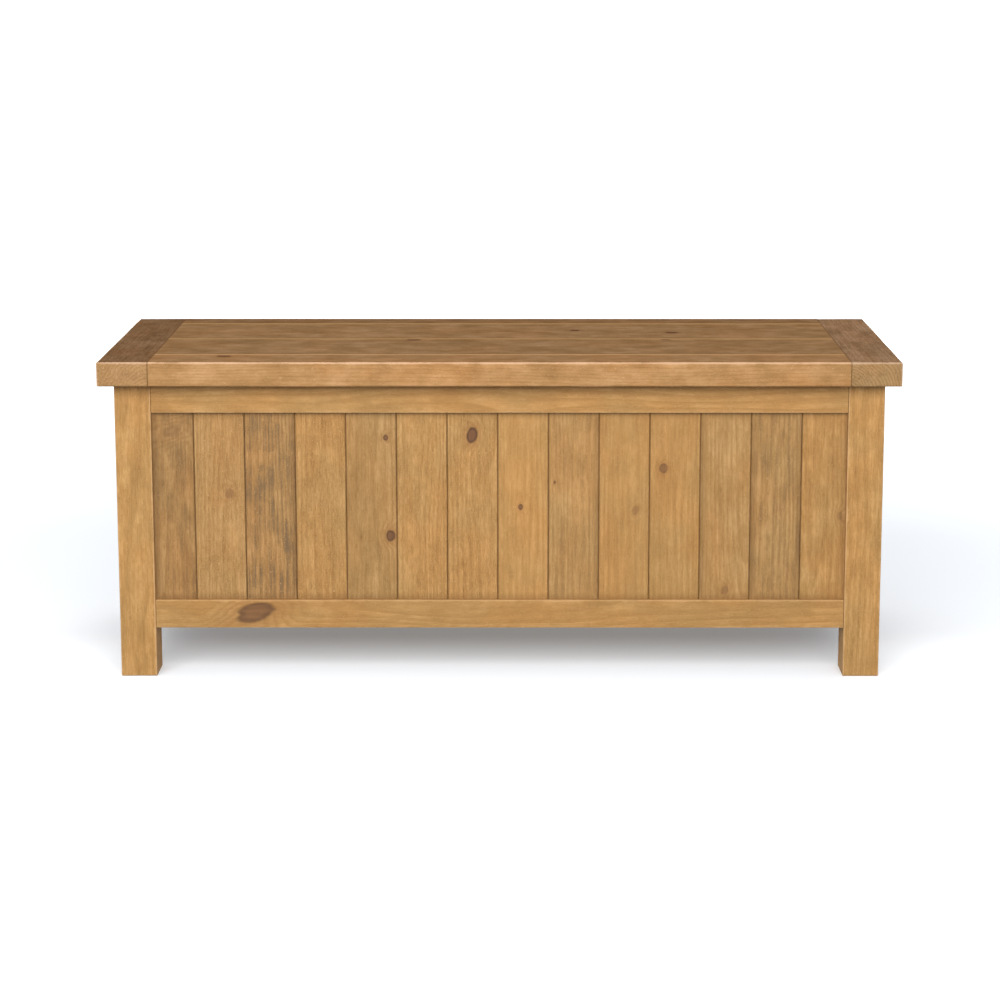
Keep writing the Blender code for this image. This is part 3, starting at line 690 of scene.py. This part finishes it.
# A pale joint side paints a highlight along that board's back edge, beside a dark line in the joint.
lid_habits = [
    dict(
        tone=ROSE_HONEY,
        light=1.04,
        joints=("+Ypale", "-X", "+X"),
        knots=[(-0.381, -0.144, 0.006, 0.7, 1.5, 0.0)],
    ),
    dict(
        tone=TAN,
        light=0.98,
        joints=("-Y", "+Ypale", "-X", "+X"),
        knots=[(-0.125, -0.007, 0.006, 0.8, 1.5, 0.0), (0.238, -0.007, 0.004, 0.7, 1.5, 0.0)],
    ),
    dict(
        tone=TAN,
        light=1.00,
        joints=("-Y", "+Ypale", "-X", "+X"),
        knots=[(0.109, 0.076, 0.005, 0.8, 1.5, 0.0), (0.251, 0.055, 0.005, 0.8, 1.5, 0.0)],
    ),
    dict(tone=WALNUT_BROWN, light=0.96, joints=("-Y", "-X", "+X")),
]
for i, habit in enumerate(lid_habits):
    name = f"lid_board_{i + 1}"
    low = Vector((inner_left, lid_edges[i], lid_low.z))
    high = Vector((inner_right, lid_edges[i + 1] - (LID_GAP if i < 3 else 0), lid_high.z))
    habit.update(pith=(0.02 * math.sin(3.0 * i), 0.06), lean=0.004 * math.cos(2.0 * i))
    # Upper arrises painted pale (partly wear, partly a painted highlight) and a top painted darker
    # (partly age, partly a painted shade).
    habit.update(outer=lid_outer, worn=0.9, dirt=0.4, shine=0.0, seed=40 + 1.7 * i, mottle=1.7)
    if i == 0:
        habit.update(aged_top=(0.63, 0.63, 0.68), fibre=0.14, rings=0.25, streaks=0.4, sawn=0.25)
    else:
        habit.update(aged_top=(0.63, 0.63, 0.82), fibre=0.22, rings=0.45, streaks=0.75, sawn=0.35)
    finish = pine(name + "_pine", low, high, "X", "+Z", **habit)
    if i == 3:
        refinish(name, finish)
        continue
    front = LID_EASE if i == 0 else TIGHT
    ease = every_side(LID_EASE, left=TIGHT, right=TIGHT, back=TIGHT, front=front)
    worn_timber(f"lid_plank_{i + 1}", low, high, ease, finish, "lid", [name], i)

cleat_habits = {
    "lid_cleat_left": dict(
        tone=(0.372, 0.205, 0.086),
        light=1.02,
        grey=0.15,
        rings=0.5,
        joints=["+X"],
        pith=(0.05, 0.07),
        aged_top=(0.45, 0.44, 0.50),
    ),
    "lid_cleat_right": dict(
        tone=(0.360, 0.209, 0.090),
        light=0.93,
        grey=0.2,
        rings=0.8,
        joints=["-X"],
        pith=(-0.055, 0.06),
        aged_top=(0.67, 0.66, 0.80),
    ),
}
for name, habit in cleat_habits.items():
    low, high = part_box(name)
    # As on the boards: pale upper arrises, partly wear and partly a painted highlight, and a darker
    # top, partly age and partly a painted shade.
    habit.update(outer=lid_outer, worn=0.9, dirt=0.4, shine=0.0, seed=61 + high.x)
    finish = pine(name + "_pine", low, high, "Y", "+Z", mottle=1.8, streaks=0.6, sawn=1.2, **habit)
    ease = every_side(LID_EASE, **{"right" if "left" in name else "left": TIGHT})
    new_name = name.replace("lid_cleat", "lid_end")
    worn_timber(new_name, low, high, ease, finish, "lid", [name], high.x)

# Battens: two raw pine strips screwed across the lid's underside keep its boards flat.
for name in ("lid_batten_left", "lid_batten_right"):
    low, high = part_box(name)
    seed = 77 + high.x
    finish = pine(name + "_pine", low, high, "Y", "-Z", tone=RAW_PINE, sawn=0.8, worn=0.3, seed=seed)
    refinish(name, finish)

# Hinges: two brass butt hinges let into the back rail and the lid, each leaf drilled and
# countersunk for three screws. The brass is brushed and dulled in patches.
def metal(name, bright, dull, across):
    """Brushed metal with dull patches; `across` is the axis that the brush lines cross."""
    plate = Finish(name)
    xyz = plate.places()
    spread = [240, 240, 240]
    spread["XYZ".index(across)] = 2600
    lines = plate.cloud(plate.point(*[p * k for p, k in zip(xyz, spread)]), 3.0, 0.6)
    patches = plate.cloud(plate.point(*[p * 120 for p in xyz]), 4.0, 0.6)
    tarnish = patches.step(0.42, 0.68)
    colour = plate.mix(tarnish, (*bright, 1), (*dull, 1))
    roughness = tarnish * 0.18 + (lines - 0.5) * 0.20 + 0.30
    return plate.done(colour, roughness, lines, 0.00006, metal=1.0)


brass = metal("brushed_brass", (0.780, 0.560, 0.250), (0.520, 0.340, 0.140), "Y")
LEAF_FLAT = 0.010
HINGE_HOLE_LINE = 0.0095
HINGE_HOLE_PITCH = 0.025
HOLE_R = 0.0017
COUNTERSINK_R = 0.0034
COUNTERSINK_DEPTH = 0.0016
BIT_ABOVE = 0.001
BIT_BELOW = 0.004


def drilled(name, source, holes, facing, wide, narrow, depth, material, body, slot):
    """A copy of a packed plate, countersunk at `holes` on the side that faces `facing`."""
    shape = bmesh.new()
    shape.from_mesh(nodes[source].data)
    bmesh.ops.remove_doubles(shape, verts=shape.verts, dist=1e-6)
    mesh = bpy.data.meshes.new(name)
    shape.to_mesh(mesh)
    shape.free()
    piece = bpy.data.objects.new(name, mesh)
    scene.collection.objects.link(piece)
    bits = bmesh.new()
    turn = Vector(facing).to_track_quat("Z", "Y").to_matrix().to_4x4()
    for hole in holes:
        for radius_low, radius_high, start, end in (
            (narrow, wide, -depth, 0.0),
            (wide, wide, 0.0, BIT_ABOVE),
            (narrow, narrow, -BIT_BELOW, -depth),
        ):
            made = bmesh.ops.create_cone(
                bits,
                cap_ends=True,
                segments=32,
                radius1=radius_low,
                radius2=radius_high,
                depth=end - start,
            )
            for vert in made["verts"]:
                vert.co.z += (start + end) / 2
                vert.co = turn @ vert.co + Vector(hole)
    bit_mesh = bpy.data.meshes.new("countersinks")
    bits.to_mesh(bit_mesh)
    bits.free()
    bit = bpy.data.objects.new("countersinks", bit_mesh)
    scene.collection.objects.link(bit)
    drill = piece.modifiers.new("drill", "BOOLEAN")
    drill.operation = "DIFFERENCE"
    drill.solver = "EXACT"
    drill.use_self = True
    drill.object = bit
    graph = bpy.context.evaluated_depsgraph_get()
    piece.data = bpy.data.meshes.new_from_object(piece.evaluated_get(graph))
    piece.modifiers.clear()
    bpy.data.objects.remove(bit)
    piece.data.materials.clear()
    piece.data.materials.append(material)
    piece.data.shade_flat()
    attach(piece, body)
    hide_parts(source)


def screw_nodes():
    """Countersunk or pan-headed cross-recess screws, one on each point of a mesh."""
    tree = bpy.data.node_groups.new("cross_recess_screws", "GeometryNodeTree")
    sockets = tree.interface
    sockets.new_socket("Geometry", in_out="INPUT", socket_type="NodeSocketGeometry")
    for name in ("Head Radius", "Head Depth", "Recess Width", "Recess Depth"):
        sockets.new_socket(name, in_out="INPUT", socket_type="NodeSocketFloat")
    sockets.new_socket("Facing", in_out="INPUT", socket_type="NodeSocketRotation")
    sockets.new_socket("Seed", in_out="INPUT", socket_type="NodeSocketInt")
    sockets.new_socket("Finish", in_out="INPUT", socket_type="NodeSocketMaterial")
    sockets.new_socket("Geometry", in_out="OUTPUT", socket_type="NodeSocketGeometry")
    given = tree.nodes.new("NodeGroupInput")

    def add(kind, links, **settings):
        made = tree.nodes.new(kind)
        for name, setting in settings.items():
            setattr(made, name, setting)
        for key, value in links.items():
            if isinstance(value, bpy.types.NodeSocket):
                tree.links.new(value, made.inputs[key])
            else:
                made.inputs[key].default_value = value
        return made

    def times(value, factor):
        return add("ShaderNodeMath", {0: value, 1: factor}, operation="MULTIPLY").outputs[0]

    radius, depth = given.outputs["Head Radius"], given.outputs["Head Depth"]
    head = add("GeometryNodeMeshCone", {"Vertices": 24, "Radius Top": radius, "Depth": depth})
    tree.links.new(times(radius, 0.86), head.inputs["Radius Bottom"])
    drop = add("ShaderNodeCombineXYZ", {"Z": times(depth, -1.0)})
    seated = add(
        "GeometryNodeTransform", {"Geometry": head.outputs["Mesh"], "Translation": drop.outputs[0]}
    )
    long_way, short_way = times(radius, 1.25), given.outputs["Recess Width"]
    tall = times(given.outputs["Recess Depth"], 2.0)
    first = add("ShaderNodeCombineXYZ", {"X": long_way, "Y": short_way, "Z": tall})
    second = add("ShaderNodeCombineXYZ", {"X": short_way, "Y": long_way, "Z": tall})
    slot_a = add("GeometryNodeMeshCube", {"Size": first.outputs[0]})
    slot_b = add("GeometryNodeMeshCube", {"Size": second.outputs[0]})
    cut = add("GeometryNodeMeshBoolean", {"Mesh 1": seated.outputs[0]}, operation="DIFFERENCE")
    tree.links.new(slot_a.outputs["Mesh"], cut.inputs["Mesh 2"])
    tree.links.new(slot_b.outputs["Mesh"], cut.inputs["Mesh 2"])
    spin = add("FunctionNodeRandomValue", {"Seed": given.outputs["Seed"]}, data_type="FLOAT")
    spin.inputs[3].default_value = math.pi
    about = add("ShaderNodeCombineXYZ", {"Z": spin.outputs[1]})
    turned = add("FunctionNodeEulerToRotation", {"Euler": about.outputs[0]})
    way = add(
        "FunctionNodeRotateRotation",
        {"Rotation": given.outputs["Facing"], "Rotate By": turned.outputs[0]},
        rotation_space="LOCAL",
    )
    placed = add(
        "GeometryNodeInstanceOnPoints",
        {
            "Points": given.outputs["Geometry"],
            "Instance": cut.outputs["Mesh"],
            "Rotation": way.outputs[0],
        },
    )
    real = add("GeometryNodeRealizeInstances", {"Geometry": placed.outputs[0]})
    painted = add(
        "GeometryNodeSetMaterial",
        {"Geometry": real.outputs[0], "Material": given.outputs["Finish"]},
    )
    result = tree.nodes.new("NodeGroupOutput")
    tree.links.new(painted.outputs[0], result.inputs["Geometry"])
    return tree


screw_tree = screw_nodes()
HINGE_SCREW_R = 0.0032
HINGE_SCREW_DEPTH = 0.0012
SUNK = 0.0002


def screws(name, places, facing, radius, depth, material, body, slot, seed=1):
    """Screw heads whose tops are at `places`, as one mesh that rides on a body."""
    points = bpy.data.meshes.new(name)
    points.from_pydata([tuple(place) for place in places], [], [])
    piece = bpy.data.objects.new(name, points)
    scene.collection.objects.link(piece)
    placing = piece.modifiers.new("screws", "NODES")
    placing.node_group = screw_tree
    sizes = {
        "Head Radius": radius,
        "Head Depth": depth,
        "Recess Width": radius * 0.30,
        "Recess Depth": depth * 0.55,
        "Facing": tuple(Vector(facing).to_track_quat("Z", "Y").to_euler()),
        "Seed": seed,
        "Finish": material,
    }
    for item in screw_tree.interface.items_tree:
        if item.item_type == "SOCKET" and item.in_out == "INPUT" and item.name in sizes:
            placing[item.identifier] = sizes[item.name]
    graph = bpy.context.evaluated_depsgraph_get()
    piece.data = bpy.data.meshes.new_from_object(piece.evaluated_get(graph))
    piece.modifiers.clear()
    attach(piece, body)


for side in ("left", "right"):
    for half, body, facing in (("frame", "frame", (0, 0, 1)), ("lid", "lid", (0, 0, -1))):
        source = f"hinge_{side}_{half}_leaf"
        low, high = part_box(source)
        flat = [v.co.z for v in nodes[source].data.vertices if v.co.y < low.y + LEAF_FLAT]
        outside = max(flat) if facing[2] > 0 else min(flat)
        middle = (low.x + high.x) / 2
        steps = (-HINGE_HOLE_PITCH, 0, HINGE_HOLE_PITCH)
        holes = [(middle + step, low.y + HINGE_HOLE_LINE, outside) for step in steps]
        plate_name = f"hinge_{side}_{half}_plate"
        bit = (COUNTERSINK_R, HOLE_R, COUNTERSINK_DEPTH)
        drilled(plate_name, source, holes, facing, *bit, brass, body, "brass")
        sunk = [(x, y, z - SUNK * facing[2]) for x, y, z in holes]
        screw_name = f"hinge_{side}_{half}_screws"
        head = (HINGE_SCREW_R, HINGE_SCREW_DEPTH)
        screws(screw_name, sunk, facing, *head, brass, body, "brass", seed=len(screw_name))
    refinish(f"hinge_{side}_pin", brass)

# Stays: a bright zinc arm at each end hangs from a bracket on the lid and slides on a stud
# on the end rail's plate, so the lid stops just past upright. Pan-headed zinc screws.
zinc = metal("bright_zinc", (0.640, 0.650, 0.660), (0.430, 0.440, 0.450), "X")
STAY_METAL = 0.0020
FLANGE_LINE = 0.0195
PAN_STANDS = 0.0012
PAN_HEAD = (0.0034, 0.0013)
PLATE_SCREW_IN = 0.006
for side, inward in (("left", 1), ("right", -1)):
    for part in ("arm", "bracket", "plate"):
        refinish(f"stay_{side}_{part}", zinc)
    low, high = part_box(f"stay_{side}_bracket")
    flange = low.x + FLANGE_LINE if side == "left" else high.x - FLANGE_LINE
    level = high.z - STAY_METAL - PAN_STANDS
    places = [(flange, low.y + share * (high.y - low.y), level) for share in (0.22, 0.78)]
    name = f"stay_{side}_bracket_screws"
    screws(name, places, (0, 0, -1), *PAN_HEAD, zinc, "lid", "zinc_steel")
    low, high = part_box(f"stay_{side}_plate")
    face_x = (low.x if side == "left" else high.x) + inward * (STAY_METAL + PAN_STANDS)
    middle = (low.y + high.y) / 2
    levels = (low.z + PLATE_SCREW_IN, high.z - PLATE_SCREW_IN)
    places = [(face_x, middle, level) for level in levels]
    name = f"stay_{side}_plate_screws"
    screws(name, places, (inward, 0, 0), *PAN_HEAD, zinc, "frame", "zinc_steel")

# Timber screws: four up through each batten into the lid, and five through each bearer into
# its rail, all sunk flush with the wood.
TIMBER_HEAD = (0.0042, 0.0006)
FLUSH = 0.0001
places = []
for side in ("left", "right"):
    low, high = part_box(f"lid_batten_{side}")
    for i in range(4):
        y = low.y + (high.y - low.y) * (0.14 + 0.24 * i)
        places.append(((low.x + high.x) / 2, y, low.z + FLUSH))
screws("lid_batten_screws", places, (0, 0, -1), *TIMBER_HEAD, zinc, "lid", "zinc_steel", seed=4)
for side, way in (("front", 1), ("rear", -1)):
    low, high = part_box(f"bearer_{side}")
    y = high.y if way > 0 else low.y
    shares = [0.06 + 0.22 * i for i in range(5)]
    places = [(low.x + (high.x - low.x) * share, y, (low.z + high.z) / 2) for share in shares]
    name = f"bearer_{side}_screws"
    screws(name, places, (0, way, 0), *TIMBER_HEAD, zinc, "frame", "zinc_steel", seed=6)
